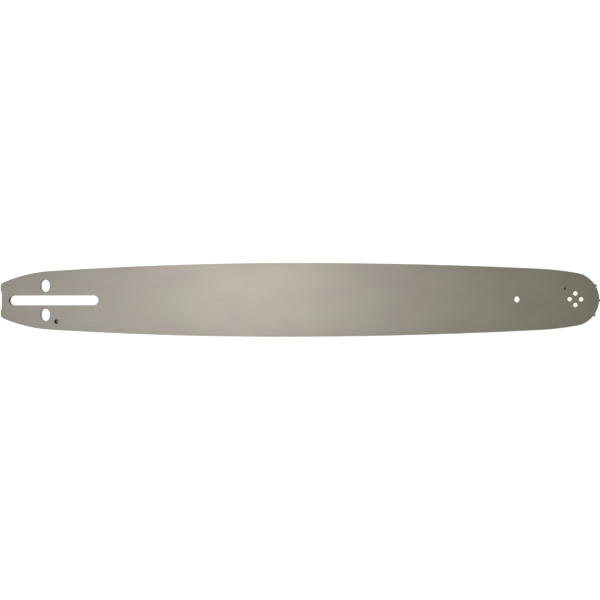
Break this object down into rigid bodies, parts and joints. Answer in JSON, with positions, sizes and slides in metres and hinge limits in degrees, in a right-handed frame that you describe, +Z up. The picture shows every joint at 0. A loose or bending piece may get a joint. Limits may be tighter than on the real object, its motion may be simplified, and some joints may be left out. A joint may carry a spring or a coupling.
{
  "type": "chainsaw guide bar",
  "caption": "Long flat laminated chainsaw guide bar with a stud slot and tensioner holes at its tail, a chain groove round its edge, and a toothed sprocket that turns in its riveted nose.",
  "frame": {"origin": "on the surface the bar lies on, under the middle of the rails' length", "axes": "+X from the tail to the nose, +Y across the bar, +Z up through its thickness"},
  "size_m": [0.5923, 0.073, 0.0047],
  "materials": {
    "plate_steel": "satin, warm grey",
    "core_steel": "matt mill finish",
    "bearing_steel": "ground, greased",
    "rivet_steel": "ground bright and flush",
    "sprocket_steel": "hardened, dull dark grey"
  },
  "bodies": {
    "bar": {"side_plate_top": "plate_steel", "side_plate_bottom": "plate_steel", "core_plate": "core_steel", "bearing_hub": "bearing_steel", "nose_rivets": "rivet_steel"},
    "sprocket": {"nose_sprocket": "sprocket_steel"},
    "rollers": {"roller_01": "bearing_steel", "roller_02": "bearing_steel", "roller_03": "bearing_steel", "roller_04": "bearing_steel", "roller_05": "bearing_steel", "roller_06": "bearing_steel", "roller_07": "bearing_steel", "roller_08": "bearing_steel", "roller_09": "bearing_steel", "roller_10": "bearing_steel", "roller_11": "bearing_steel", "roller_12": "bearing_steel", "roller_13": "bearing_steel", "roller_14": "bearing_steel", "roller_15": "bearing_steel"}
  },
  "joints": [
    {"name": "sprocket_spin", "type": "hinge", "parent": "bar", "child": "sprocket", "pos_m": [0.2713, 0, 0.00235], "axis": [0, 0, 1], "continuous": true},
    {"name": "roller_orbit", "type": "hinge", "parent": "bar", "child": "rollers", "pos_m": [0.2713, 0, 0.00235], "axis": [0, 0, 1], "continuous": true}
  ],
  "couplings": [
    {"joint": "roller_orbit", "follows": "sprocket_spin", "ratio": 0.60181}
  ]
}
